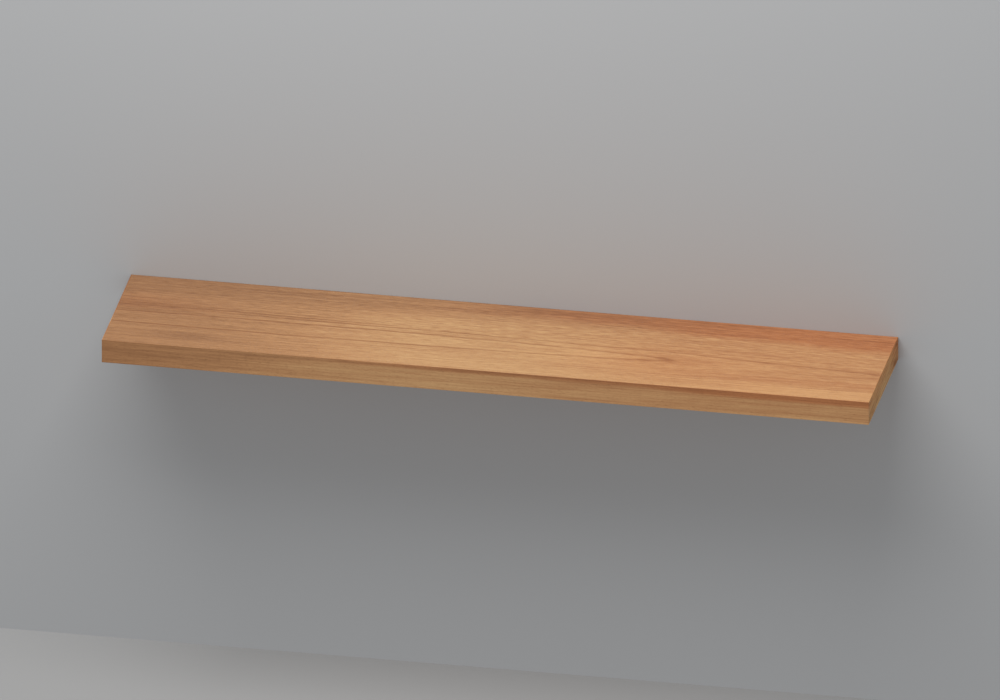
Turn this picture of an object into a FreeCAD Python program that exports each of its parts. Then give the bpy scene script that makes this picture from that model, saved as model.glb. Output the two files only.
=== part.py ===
import FreeCAD, Part
import Sketcher
import math
import os

# A hollow-core floating wall shelf and the hidden rod bracket that carries it.
#
# Frame, in millimetres: the origin is the middle of the face that lies on the wall. X runs along the
# shelf, to the right as seen from the room. Y runs into the wall, so the shelf lies at negative Y and
# the screws and plugs at positive Y. Z is up, and Z = 0 is the middle of the shelf's thickness.
#
# The shelf is a torsion box: a frame of softwood rails, three bored blocks and paper honeycomb between
# two hardboard skins, veneered on both faces and banded on the three edges that show. It slides over
# three steel rods welded to a wall plate, and a grub screw under each rod locks it there.

# alias, size in millimetres, what it is
SIZES = [
    ("shelf_length", 1200, "overall, along the wall"),
    ("shelf_depth", 240, "overall, from the wall to the front"),
    ("shelf_height", 38, "overall thickness"),
    ("veneer_thickness", 0.6, "veneer on the top and on the underside"),
    ("skin_thickness", 3.2, "hardboard skin under each veneer"),
    ("edge_band_thickness", 1, "banding on the front and on both ends"),
    ("edge_rounding", 0.5, "radius of the banding's outer edges"),
    ("front_rail_depth", 30, "front rail, front to back"),
    ("rear_rail_depth", 24, "rear rail, front to back"),
    ("end_rail_width", 30, "each end rail, along the shelf"),
    ("guide_block_width", 56, "each bored block, along the shelf"),
    ("rail_gap", 1.5, "air between a weld and the rear rail"),
    ("core_gap", 2, "air between a honeycomb core and the wood round it"),
    ("cell_size", 28, "honeycomb cell, across its flats"),
    ("cell_wall", 0.8, "honeycomb wall"),
    ("plate_thickness", 4, "wall plate"),
    ("plate_side_gap", 1.2, "air above and below the wall plate, to the skins"),
    ("plate_end_gap", 9, "air between an end of the wall plate and the end rail"),
    ("plate_corner_radius", 4, "wall plate's corners"),
    ("rod_diameter", 12, "each rod"),
    ("rod_front_margin", 55, "from a rod's tip to the front rail"),
    ("rod_tip_chamfer", 1.5, "at each rod's tip"),
    ("rod_clearance", 0.1, "air round a rod in its bore"),
    ("bore_end_gap", 10, "air between a rod's tip and the end of its bore"),
    ("weld_leg", 3.5, "fillet weld round each rod's root"),
    ("wall_screw_offset", 100, "from a rod to the wall screw on each side of it"),
    ("wall_screw_end_distance", 60, "from an end of the wall plate to the last wall screw"),
    ("wall_screw_diameter", 5, "over the thread"),
    ("wall_screw_length", 60, "with its head"),
    ("wall_screw_point", 6, "length of the tapered point"),
    ("wall_screw_head", 10, "diameter of the countersunk head"),
    ("screw_hole_clearance", 0.25, "air round a wall screw's shank in the plate"),
    ("seat_gap", 0.05, "air between a fastener and its seat"),
    ("recess_size", 5, "cross recess in a wall screw's head, from tip to tip"),
    ("recess_slot", 1.3, "width of the cross recess's slots"),
    ("recess_depth", 2, "cross recess"),
    ("plug_wall", 1.45, "wall plug, from its bore to its outside"),
    ("plug_length", 50, "wall plug"),
    ("plug_setback", 3, "from the wall's face to the wall plug"),
    ("plug_collar", 28, "length of the wall plug that isn't slit"),
    ("plug_slit", 1.2, "width of the wall plug's slits"),
    ("lock_screw_setback", 80, "from the wall to the lock screws"),
    ("lock_screw_diameter", 6, "over the thread"),
    ("lock_screw_recess", 4.95, "from the underside up to the lock screw"),
    ("lock_screw_chamfer", 0.8, "at both ends of the lock screw"),
    ("socket_size", 3, "hexagon socket, across its flats"),
    ("socket_depth", 4, "hexagon socket"),
    ("thread_clearance", 0.05, "air round the lock screw in its insert"),
    ("insert_wall", 1.45, "threaded insert, from its thread to its outside"),
    ("insert_cover", 1.1, "wood left between the insert and the rod's bore"),
    ("access_clearance", 0.5, "the skin's hole is this much wider, all round, than the insert"),
]

# Sizes that follow from the driving ones, as expressions for setExpression.
CORE_HEIGHT = "(dim.shelf_height - 2 * (dim.veneer_thickness + dim.skin_thickness))"
PANEL_LENGTH = "(dim.shelf_length - 2 * dim.edge_band_thickness)"
PANEL_DEPTH = "(dim.shelf_depth - dim.edge_band_thickness)"
RAIL_SETBACK = "(dim.plate_thickness + dim.weld_leg + dim.rail_gap)"
BLOCK_START = f"({RAIL_SETBACK} + dim.rear_rail_depth)"
FRONT_RAIL_BACK = f"({PANEL_DEPTH} - dim.front_rail_depth)"
BLOCK_LENGTH = f"({FRONT_RAIL_BACK} - {BLOCK_START})"
INNER_LENGTH = f"({PANEL_LENGTH} - 2 * dim.end_rail_width)"
PLATE_LENGTH = f"({INNER_LENGTH} - 2 * dim.plate_end_gap)"
PLATE_HEIGHT = f"({CORE_HEIGHT} - 2 * dim.plate_side_gap)"
ROD_SPACING = f"({PLATE_LENGTH} / 2 - dim.wall_screw_end_distance - dim.wall_screw_offset)"
ROD_RADIUS = "(dim.rod_diameter / 2)"
ROD_LENGTH = f"({FRONT_RAIL_BACK} - dim.rod_front_margin - dim.plate_thickness)"
BORE_RADIUS = f"({ROD_RADIUS} + dim.rod_clearance)"
BORE_LENGTH = f"(dim.plate_thickness + {ROD_LENGTH} + dim.bore_end_gap - {BLOCK_START})"
LOCK_SCREW_RADIUS = "(dim.lock_screw_diameter / 2)"
LOCK_SCREW_TIP = f"({ROD_RADIUS} + dim.seat_gap)"
LOCK_SCREW_LENGTH = f"(dim.shelf_height / 2 - dim.lock_screw_recess - {LOCK_SCREW_TIP})"
INSERT_BORE = f"({LOCK_SCREW_RADIUS} + dim.thread_clearance)"
INSERT_RADIUS = f"({INSERT_BORE} + dim.insert_wall)"
INSERT_LENGTH = f"({CORE_HEIGHT} / 2 - {BORE_RADIUS} - dim.insert_cover)"
ACCESS_RADIUS = f"({INSERT_RADIUS} + dim.access_clearance)"
WALL_SCREW_RADIUS = "(dim.wall_screw_diameter / 2)"
WALL_SCREW_HEAD = "(dim.wall_screw_head / 2)"
PLUG_BORE = f"({WALL_SCREW_RADIUS} + dim.seat_gap)"
PLUG_RADIUS = f"({PLUG_BORE} + dim.plug_wall)"

# Rows of like pieces, each starting at the left: at every rod, and on both sides of every rod.
FIRST_ROD = f"-{ROD_SPACING}"
FIRST_WALL_SCREW = f"-{ROD_SPACING} - dim.wall_screw_offset"
ROD_ROW = ("X_Axis", 3, f"2 * {ROD_SPACING}")
SCREW_PAIR = ("X_Axis", 2, "2 * dim.wall_screw_offset")

SIDES = [("left", -1), ("middle", 0), ("right", 1)]
ENDS = [("left", -1), ("right", 1)]

doc = FreeCAD.newDocument("floating_shelf")
sheet = doc.addObject("Spreadsheet::Sheet", "dim")
for row, (alias, size, note) in enumerate(SIZES, start=1):
    sheet.set(f"A{row}", alias)
    sheet.set(f"B{row}", str(size))
    sheet.set(f"C{row}", note)
    sheet.setAlias(f"B{row}", alias)
doc.recompute()


# ---------------------------------------------------------------- shared steps

def new_body(label, x="0", y="0", z="0"):
    """A sub-part at a place given by three expressions. A row of pieces may be several solids."""
    body = doc.addObject("PartDesign::Body", label)
    body.Label = label
    body.AllowCompound = True
    for axis, place in (("x", x), ("y", y), ("z", z)):
        body.setExpression(f"Placement.Base.{axis}", place)
    return body


def origin_feature(body, role):
    return next(f for f in body.Origin.OriginFeatures if f.Role == role)


def new_sketch(body, name, plane):
    sketch = body.newObject("Sketcher::SketchObject", name)
    sketch.AttachmentSupport = [(origin_feature(body, plane), "")]
    sketch.MapMode = "FlatFace"
    return sketch


def fix_point(sketch, geometry, vertex, u, v):
    """Hold a point of the sketch at the place that two expressions give."""
    for kind, place, axis in (("DistanceX", u, -2), ("DistanceY", v, -1)):
        if place == "0":
            sketch.addConstraint(Sketcher.Constraint("PointOnObject", geometry, vertex, axis))
        else:
            value = float(sheet.evalExpression(place))
            index = sketch.addConstraint(Sketcher.Constraint(kind, -1, 1, geometry, vertex, value))
            sketch.setExpression(f"Constraints[{index}]", place)


def polygon(body, name, plane, corners):
    """A closed outline of straight lines through corners, each a pair of expressions."""
    sketch = new_sketch(body, name, plane)
    points = [FreeCAD.Vector(*(float(sheet.evalExpression(e)) for e in corner), 0) for corner in corners]
    count = len(points)
    for i in range(count):
        sketch.addGeometry(Part.LineSegment(points[i], points[(i + 1) % count]), False)
    for i in range(count):
        sketch.addConstraint(Sketcher.Constraint("Coincident", i, 2, (i + 1) % count, 1))
    for i, (u, v) in enumerate(corners):
        fix_point(sketch, i, 1, u, v)
    return sketch


def rectangle(body, name, plane, u0, v0, u1, v1):
    return polygon(body, name, plane, [(u0, v0), (u1, v0), (u1, v1), (u0, v1)])


def hexagon_corners(u, v, apothem):
    """The corners of a hexagon with two sides upright, as pairs of expressions."""
    corners = []
    for k in range(6):
        angle = math.radians(60 * k + 30)
        reach = [round(part(angle) / math.cos(math.radians(30)), 12) for part in (math.cos, math.sin)]
        corners.append((f"{u} + {reach[0]} * {apothem}", f"{v} + {reach[1]} * {apothem}"))
    return corners


def circle(body, name, plane, u, v, radius):
    sketch = new_sketch(body, name, plane)
    size = float(sheet.evalExpression(radius))
    centre = FreeCAD.Vector(float(sheet.evalExpression(u)), float(sheet.evalExpression(v)), 0)
    sketch.addGeometry(Part.Circle(centre, FreeCAD.Vector(0, 0, 1), size), False)
    index = sketch.addConstraint(Sketcher.Constraint("Radius", 0, size))
    sketch.setExpression(f"Constraints[{index}]", radius)
    fix_point(sketch, 0, 3, u, v)
    return sketch


def pad(body, name, sketch, length):
    feature = body.newObject("PartDesign::Pad", name)
    feature.Profile = sketch
    feature.setExpression("Length", length)
    doc.recompute()
    return feature


def pocket(body, name, sketch, depth, reverse=False):
    """Cut a sketch into the body. A depth of None goes right through, both ways."""
    before = body.Shape.Volume
    feature = body.newObject("PartDesign::Pocket", name)
    feature.Profile = sketch
    feature.Reversed = reverse
    if depth is None:
        feature.Type = "ThroughAll"
        feature.Midplane = True
    else:
        feature.setExpression("Length", depth)
    doc.recompute()
    if not body.Shape.Volume < before:
        raise RuntimeError(f"{body.Label}: {name} cuts nothing")
    return feature


def turn(body, name, sketch, kind="Revolution"):
    """Turn a half section round its sketch's upright axis, into a solid or, as a Groove, a cut."""
    feature = body.newObject(f"PartDesign::{kind}", name)
    feature.Profile = sketch
    feature.ReferenceAxis = (sketch, ["V_Axis"])
    feature.Angle = 360
    doc.recompute()
    return feature


def repeat(body, features, *steps):
    """Repeat features along one or two directions. Each step is an axis, a count and a span."""
    pattern = body.newObject("PartDesign::LinearPattern", f"{features[-1].Name}_row")
    pattern.Originals = features
    for suffix, (axis, count, span) in zip(("", "2"), steps):
        setattr(pattern, f"Direction{suffix}", (origin_feature(body, axis), [""]))
        pattern.setExpression(f"Occurrences{suffix}", str(count))
        pattern.setExpression(f"Length{suffix}", span)
    body.Tip = pattern
    doc.recompute()


def round_edges(body, feature, radius, chosen):
    """Round those edges of a feature whose middle point and bounding box pass a test."""
    names = [f"Edge{i}" for i, edge in enumerate(feature.Shape.Edges, start=1)
             if chosen(edge.CenterOfMass, edge.BoundBox)]
    fillet = body.newObject("PartDesign::Fillet", f"{feature.Name}_rounding")
    fillet.Base = (feature, names)
    fillet.setExpression("Radius", radius)
    doc.recompute()


def slab(label, width, depth, height, x="0", y="0", z="0"):
    """A board: centred on x along the shelf, running forward from y, standing on z."""
    body = new_body(label, x, y, z)
    outline = rectangle(body, f"{label}_outline", "XY_Plane",
                        f"-{width} / 2", f"-{depth}", f"{width} / 2", "0")
    board = pad(body, f"{label}_board", outline, height)
    return body, board


# ---------------------------------------------------------------- the shelf's box

def veneer_and_skins():
    """The two faces. The lower pair have the holes through which the lock screws are reached."""
    levels = [
        ("top_veneer", "dim.veneer_thickness", "dim.shelf_height / 2 - dim.veneer_thickness"),
        ("top_skin", "dim.skin_thickness", f"{CORE_HEIGHT} / 2"),
        ("bottom_skin", "dim.skin_thickness", f"-{CORE_HEIGHT} / 2 - dim.skin_thickness"),
        ("bottom_veneer", "dim.veneer_thickness", "-dim.shelf_height / 2"),
    ]
    for label, thickness, level in levels:
        body, _ = slab(label, PANEL_LENGTH, PANEL_DEPTH, thickness, z=level)
        if label.startswith("bottom"):
            hole = circle(body, f"{label}_hole", "XY_Plane",
                          FIRST_ROD, "-dim.lock_screw_setback", ACCESS_RADIUS)
            cut = pocket(body, f"{label}_access", hole, None)
            repeat(body, [cut], ROD_ROW)


def edge_bands():
    """Banding as high as the shelf. The front band covers the ends of the two end bands."""
    radius = "min(dim.edge_rounding; dim.edge_band_thickness * 0.8)"
    low = "-dim.shelf_height / 2"
    body, board = slab("front_edge_band", "dim.shelf_length", "dim.edge_band_thickness",
                       "dim.shelf_height", y=f"-{PANEL_DEPTH}", z=low)
    box = board.Shape.BoundBox
    round_edges(body, board, radius, lambda middle, span: (
        middle.y < box.YMin + 1e-6 or (span.YLength > 1e-3 and span.ZLength < 1e-3)))
    for side, sign in ENDS:
        body, board = slab(f"{side}_edge_band", "dim.edge_band_thickness", PANEL_DEPTH,
                           "dim.shelf_height", z=low,
                           x=f"{sign} * (dim.shelf_length - dim.edge_band_thickness) / 2")
        round_edges(body, board, radius, lambda middle, span: (
            span.YLength > 1e-3 and middle.x * sign > 0))


def rails():
    """The softwood frame. The rear rail is set in from the wall, to leave room for the wall plate."""
    low = f"-{CORE_HEIGHT} / 2"
    slab("front_rail", PANEL_LENGTH, "dim.front_rail_depth", CORE_HEIGHT, y=f"-{FRONT_RAIL_BACK}", z=low)
    for side, sign in ENDS:
        slab(f"{side}_end_rail", "dim.end_rail_width", FRONT_RAIL_BACK, CORE_HEIGHT, z=low,
             x=f"{sign} * ({PANEL_LENGTH} - dim.end_rail_width) / 2")
    body, _ = slab("rear_rail", INNER_LENGTH, "dim.rear_rail_depth", CORE_HEIGHT,
                   y=f"-{RAIL_SETBACK}", z=low)
    bore = circle(body, "rear_rail_bore", "XZ_Plane", FIRST_ROD, f"{CORE_HEIGHT} / 2", BORE_RADIUS)
    cut = pocket(body, "rear_rail_bores", bore, None)
    repeat(body, [cut], ROD_ROW)


def guide_blocks():
    """A block for each rod, with a blind bore for it and a seat for its lock screw's insert."""
    for side, sign in SIDES:
        label = f"guide_block_{side}"
        body, _ = slab(label, "dim.guide_block_width", BLOCK_LENGTH, CORE_HEIGHT,
                       x=f"{sign} * {ROD_SPACING}", y=f"-{BLOCK_START}", z=f"-{CORE_HEIGHT} / 2")
        bore = circle(body, f"{label}_bore", "XZ_Plane", "0", f"{CORE_HEIGHT} / 2", BORE_RADIUS)
        pocket(body, f"{label}_rod_bore", bore, BORE_LENGTH, reverse=True)
        screw_y = f"{BLOCK_START} - dim.lock_screw_setback"
        way = circle(body, f"{label}_way", "XY_Plane", "0", screw_y,
                     f"{INSERT_BORE} + dim.thread_clearance")
        pocket(body, f"{label}_screw_way", way, f"{CORE_HEIGHT} / 2", reverse=True)
        seat = circle(body, f"{label}_seat", "XY_Plane", "0", screw_y,
                      f"{INSERT_RADIUS} + dim.seat_gap")
        pocket(body, f"{label}_insert_seat", seat, INSERT_LENGTH, reverse=True)


def honeycomb_cores():
    """Expanded paper honeycomb, cut to fill each bay between an end rail and the blocks."""
    row_pitch = "dim.cell_size * sqrt(3)"
    outer_bay = f"({INNER_LENGTH} / 2 - {ROD_SPACING} - dim.guide_block_width / 2)"
    inner_bay = f"({ROD_SPACING} - dim.guide_block_width)"
    outer_middle = f"({INNER_LENGTH} - {outer_bay}) / 2"
    inner_middle = f"{ROD_SPACING} / 2"
    bays = [
        ("honeycomb_far_left", outer_bay, f"-{outer_middle}"),
        ("honeycomb_left", inner_bay, f"-{inner_middle}"),
        ("honeycomb_right", inner_bay, inner_middle),
        ("honeycomb_far_right", outer_bay, outer_middle),
    ]
    depth = f"({BLOCK_LENGTH} - 2 * dim.core_gap)"
    for label, bay, x in bays:
        width = f"({bay} - 2 * dim.core_gap)"
        body, _ = slab(label, width, depth, CORE_HEIGHT, x=x,
                       y=f"-{BLOCK_START} - dim.core_gap", z=f"-{CORE_HEIGHT} / 2")
        flat = "(dim.cell_size - dim.cell_wall) / 2"
        across = f"(1 + ceil({width} / dim.cell_size))"
        along = f"(1 + ceil({depth} / ({row_pitch})))"
        for name, shift in (("even", 0), ("odd", 0.5)):
            centre_x = f"({shift} * dim.cell_size - {width} / 2)"
            centre_y = f"({shift} * {row_pitch} - {depth})"
            corners = hexagon_corners(centre_x, centre_y, flat)
            outline = polygon(body, f"{label}_{name}_cell", "XY_Plane", corners)
            cells = pocket(body, f"{label}_{name}", outline, None)
            repeat(body, [cells],
                   ("X_Axis", across, f"({across} - 1) * dim.cell_size"),
                   ("Y_Axis", along, f"({along} - 1) * {row_pitch}"))


# ---------------------------------------------------------------- the bracket

def wall_plate():
    """A flat steel bar with a countersunk hole on each side of every rod."""
    body, board = slab("wall_plate", PLATE_LENGTH, "dim.plate_thickness", PLATE_HEIGHT,
                       z=f"-{PLATE_HEIGHT} / 2")
    round_edges(body, board, "dim.plate_corner_radius", lambda middle, span: (
        span.YLength > 1e-3 and span.XLength < 1e-3 and span.ZLength < 1e-3))
    mouth = f"({WALL_SCREW_HEAD} + dim.seat_gap)"
    shank = f"({WALL_SCREW_RADIUS} + dim.screw_hole_clearance)"
    front = "-dim.plate_thickness"
    section = polygon(body, "wall_plate_hole_section", "XY_Plane", [
        ("0", front), (mouth, front), (shank, f"{front} + {mouth} - {shank}"), (shank, "0"), ("0", "0")])
    section.setExpression("AttachmentOffset.Base.x", FIRST_WALL_SCREW)
    section.setExpression("AttachmentOffset.Base.z", f"{PLATE_HEIGHT} / 2")
    doc.recompute()
    hole = turn(body, "wall_plate_hole", section, kind="Groove")
    repeat(body, [hole], SCREW_PAIR, ROD_ROW)


def rods():
    """Three round bars that stand out of the plate's front face."""
    for side, sign in SIDES:
        label = f"rod_{side}"
        body = new_body(label, x=f"{sign} * {ROD_SPACING}", y="-dim.plate_thickness")
        outline = circle(body, f"{label}_outline", "XZ_Plane", "0", "0", ROD_RADIUS)
        bar = pad(body, f"{label}_bar", outline, ROD_LENGTH)
        tip = bar.Shape.BoundBox.YMin
        names = [f"Edge{i}" for i, edge in enumerate(bar.Shape.Edges, start=1)
                 if edge.BoundBox.YMax < tip + 1e-6]
        chamfer = body.newObject("PartDesign::Chamfer", f"{label}_tip")
        chamfer.Base = (bar, names)
        chamfer.setExpression("Size", f"min(dim.rod_tip_chamfer; {ROD_RADIUS} * 0.8)")


def weld_beads():
    """A fillet of weld in the corner between each rod and the plate."""
    body = new_body("weld_beads", x=FIRST_ROD, y="-dim.plate_thickness")
    section = polygon(body, "weld_section", "XY_Plane", [
        (ROD_RADIUS, "0"), (f"{ROD_RADIUS} + dim.weld_leg", "0"), (ROD_RADIUS, "-dim.weld_leg")])
    bead = turn(body, "weld_bead", section)
    repeat(body, [bead], ROD_ROW)


def wall_screws():
    """Countersunk wood screws with a cross recess, through the plate into the plugs."""
    body = new_body("wall_screws", x=FIRST_WALL_SCREW, y="-dim.plate_thickness")
    section = polygon(body, "wall_screw_section", "XY_Plane", [
        ("0", "0"), (WALL_SCREW_HEAD, "0"), (WALL_SCREW_RADIUS, f"{WALL_SCREW_HEAD} - {WALL_SCREW_RADIUS}"),
        (WALL_SCREW_RADIUS, "dim.wall_screw_length - dim.wall_screw_point"),
        ("0", "dim.wall_screw_length")])
    screw = turn(body, "wall_screw", section)
    tip = "dim.recess_size / 2"
    flank = "dim.recess_slot / 2"
    quarter = [(tip, flank), (flank, flank), (flank, tip)]
    corners = quarter + [(f"-{u}", v) for u, v in reversed(quarter)]
    corners += [(f"-{u}", f"-{v}") for u, v in quarter]
    corners += [(u, f"-{v}") for u, v in reversed(quarter)]
    cross = polygon(body, "wall_screw_cross", "XZ_Plane", corners)
    recess = pocket(body, "wall_screw_recess", cross, "dim.recess_depth")
    repeat(body, [screw, recess], SCREW_PAIR, ROD_ROW)


def wall_plugs():
    """Nylon plugs, slit lengthways into four legs that the screws spread."""
    body = new_body("wall_plugs", x=FIRST_WALL_SCREW, y="dim.plug_setback")
    section = rectangle(body, "wall_plug_section", "XY_Plane", PLUG_BORE, "0", PLUG_RADIUS, "dim.plug_length")
    plug = turn(body, "wall_plug", section)
    half = "dim.plug_slit / 2"
    end = "dim.plug_length + dim.plug_slit"
    upright = rectangle(body, "wall_plug_upright_slit", "XY_Plane", f"-{half}", "dim.plug_collar", half, end)
    first = pocket(body, "wall_plug_upright", upright, None)
    level = rectangle(body, "wall_plug_level_slit", "YZ_Plane", "dim.plug_collar", f"-{half}", end, half)
    second = pocket(body, "wall_plug_level", level, None)
    repeat(body, [plug, first, second], SCREW_PAIR, ROD_ROW)


# ---------------------------------------------------------------- the locks

def threaded_inserts():
    """Brass sleeves in the blocks' undersides."""
    body = new_body("threaded_inserts", x=FIRST_ROD, y="-dim.lock_screw_setback", z=f"-{CORE_HEIGHT} / 2")
    section = rectangle(body, "insert_section", "XZ_Plane", INSERT_BORE, "0", INSERT_RADIUS, INSERT_LENGTH)
    sleeve = turn(body, "insert_sleeve", section)
    repeat(body, [sleeve], ROD_ROW)


def lock_screws():
    """Grub screws with a hexagon socket, turned up from below against the rods."""
    end_radius = f"{LOCK_SCREW_RADIUS} - dim.lock_screw_chamfer"
    shoulder = f"{LOCK_SCREW_LENGTH} - dim.lock_screw_chamfer"
    for side, sign in SIDES:
        label = f"lock_screw_{side}"
        body = new_body(label, x=f"{sign} * {ROD_SPACING}", y="-dim.lock_screw_setback",
                        z=f"-{LOCK_SCREW_TIP} - {LOCK_SCREW_LENGTH}")
        section = polygon(body, f"{label}_section", "XZ_Plane", [
            ("0", "0"), (end_radius, "0"), (LOCK_SCREW_RADIUS, "dim.lock_screw_chamfer"),
            (LOCK_SCREW_RADIUS, shoulder), (end_radius, LOCK_SCREW_LENGTH), ("0", LOCK_SCREW_LENGTH)])
        turn(body, f"{label}_thread", section)
        hexagon = polygon(body, f"{label}_hexagon", "XY_Plane",
                          hexagon_corners("0", "0", "dim.socket_size / 2"))
        pocket(body, f"{label}_socket", hexagon, "dim.socket_depth", reverse=True)


# ---------------------------------------------------------------- build, check and export

def check_and_export():
    """Stop at the first object or shape that failed, then write one STEP file for each sub-part."""
    doc.recompute()
    for item in doc.Objects:
        if "Invalid" in item.State or "Error" in item.State:
            raise RuntimeError(f"{item.Name}: {item.State}")
    bodies = [item for item in doc.Objects if item.TypeId == "PartDesign::Body"]
    for body in bodies:
        if body.Shape.isNull() or not body.Shape.isValid():
            raise RuntimeError(f"{body.Label}: its shape failed")
    os.makedirs("parts", exist_ok=True)
    for body in bodies:
        body.Shape.exportStep(f"parts/{body.Label}.step")
        solids = len(body.Shape.Solids)
        print(f"{body.Label}: {solids} solid{'s' if solids > 1 else ''}, {body.Shape.Volume / 1000:.2f} cm3")


veneer_and_skins()
edge_bands()
rails()
guide_blocks()
honeycomb_cores()
wall_plate()
rods()
weld_beads()
wall_screws()
wall_plugs()
threaded_inserts()
lock_screws()
check_and_export()
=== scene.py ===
"""Floating wall shelf: finishes, fastenings, studio and camera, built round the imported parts."""

import math

import bmesh
import bpy
from bpy.props import FloatProperty, FloatVectorProperty, IntProperty, PointerProperty
from mathutils import Matrix, Vector


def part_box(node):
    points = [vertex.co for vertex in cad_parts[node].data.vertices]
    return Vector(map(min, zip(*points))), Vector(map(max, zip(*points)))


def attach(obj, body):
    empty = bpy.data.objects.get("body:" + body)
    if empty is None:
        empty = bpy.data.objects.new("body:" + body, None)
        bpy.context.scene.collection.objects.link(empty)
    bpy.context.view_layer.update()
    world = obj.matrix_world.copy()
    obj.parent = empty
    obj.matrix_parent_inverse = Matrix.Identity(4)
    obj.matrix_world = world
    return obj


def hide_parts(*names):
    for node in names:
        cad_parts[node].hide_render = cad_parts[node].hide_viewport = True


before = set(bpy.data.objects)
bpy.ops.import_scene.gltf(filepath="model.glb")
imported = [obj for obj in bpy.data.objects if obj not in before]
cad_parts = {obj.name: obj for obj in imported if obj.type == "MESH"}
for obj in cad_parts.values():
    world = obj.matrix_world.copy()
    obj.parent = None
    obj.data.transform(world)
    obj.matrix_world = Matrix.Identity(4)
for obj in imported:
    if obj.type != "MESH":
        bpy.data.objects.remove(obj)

bl_info = {
    "name": "Floating wall shelf",
    "version": (1, 0, 0),
    "blender": (4, 5, 0),
    "location": "View3D > Sidebar > Shelf",
    "description": "Dresses a hollow-core wall shelf and its hidden bracket",
    "category": "Object",
}

MM = 0.001
MERGE = 1e-7
SEAM = 1e-5
QUARTER_TURN = math.pi / 2
X_AXIS = Vector((1, 0, 0))
Y_AXIS = Vector((0, 1, 0))
Z_AXIS = Vector((0, 0, 1))

# The board, in metres
SHELF_LENGTH = 1.2
SHELF_DEPTH = 0.24
SHELF_THICKNESS = 0.038

# The screws' recesses and the tolerance for a point's place, in millimetres
CROSS_DEPTH = 2.0
CROSS_MARK = 2.0
SOCKET_FLAT = 1.5
SOCKET_DEPTH = 4.0
NEAR = 0.02

# The studio, in metres, and the camera's angles
WALL_GAP = 0.5 * MM
WALL_TOP = 1.3
PLANE_HALF = 4.0
KEY_PLACE = (-0.37, -1.34, 2.75)
KEY_AIM = Vector((0, -0.1, 0))
KEY_SIZE = (2.6, 2.0)
CAMERA_DISTANCE = 3.0
CAMERA_REACH = 20.0
AZIMUTH = math.radians(10.84)
ELEVATION = math.radians(25.27)

# Sockets of the Mix node when it mixes colours
MIX_SHARE, MIX_FIRST, MIX_SECOND, MIX_RESULT = 0, 6, 7, 2

BRACKET = "bracket"
SHELF = "shelf"
SIDES = ("left", "middle", "right")
BAYS = ("far_left", "left", "right", "far_right")


# ---- sizes and colours that a user may change ----


def colour(name, description, default):
    """A colour property."""
    return FloatVectorProperty(
        name=name, description=description, subtype="COLOR", size=3, min=0, max=1, default=default
    )


def number(name, description, default, **kind):
    """A number property with its limits or its kind of unit."""
    return FloatProperty(name=name, description=description, default=default, **kind)


def length(name, description, default):
    """A length property in metres."""
    return number(name, description, default, subtype="DISTANCE", unit="LENGTH", min=0)


class WoodSettings(bpy.types.PropertyGroup):
    """Veneer and edge bands"""

    pale: colour("Pale wood", "Lightest early wood", (0.68, 0.415, 0.195))
    middle: colour("Middle wood", "Most of the board", (0.49, 0.252, 0.115))
    dark: colour("Dark wood", "Late wood and pores", (0.27, 0.126, 0.058))
    red: colour("Heartwood tint", "Multiplies the wood in its red bands", (0.93, 0.66, 0.56))
    line: colour("Ring line tint", "Multiplies the wood on a ring's line", (0.56, 0.42, 0.36))
    roughness: number("Roughness", "Roughness of the lacquer", 0.5, min=0, max=1)
    pore_depth: length("Pore depth", "Depth of the open pores", 0.12 * MM)
    arris: length("Arris", "How far the edge bands' corners are eased", 0.4 * MM)


class CoreSettings(bpy.types.PropertyGroup):
    """Inside of the board"""

    hardboard: colour("Hardboard", "Pressed fibre skins", (0.21, 0.115, 0.06))
    softwood: colour("Softwood", "Rails and guide blocks", (0.66, 0.45, 0.25))
    kraft: colour("Kraft paper", "Honeycomb core", (0.46, 0.31, 0.18))


class MetalSettings(bpy.types.PropertyGroup):
    """Bracket, screws and inserts"""

    zinc: colour("Zinc plating", "Bright zinc on the wall plate", (0.60, 0.62, 0.64))
    steel: colour("Bright steel", "Drawn steel of the rods", (0.56, 0.55, 0.54))
    weld: colour("Weld metal", "Weld beads", (0.40, 0.38, 0.36))
    yellow_zinc: colour("Yellow zinc", "Passivated wood screws", (0.72, 0.56, 0.27))
    brass: colour("Brass", "Threaded inserts", (0.80, 0.59, 0.27))
    black: colour("Black oxide", "Locking screws", (0.035, 0.035, 0.038))


class FasteningSettings(bpy.types.PropertyGroup):
    """Threads, barbs and ripples"""

    nylon: colour("Nylon", "Wall plugs", (0.50, 0.51, 0.52))
    screw_pitch: length("Wood screw pitch", "Advance of the wood screws' thread a turn", 2.4 * MM)
    screw_core: length("Wood screw core", "Radius at the root of the wood screws' thread", 1.6 * MM)
    lock_pitch: length("Lock screw pitch", "Advance of the lock screws' thread a turn", 1.0 * MM)
    barb_pitch: length("Plug barb pitch", "Distance between the wall plugs' barbs", 2.75 * MM)
    ripples: IntProperty(name="Weld ripples", description="Ripples round a bead", min=6, default=20)


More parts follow.
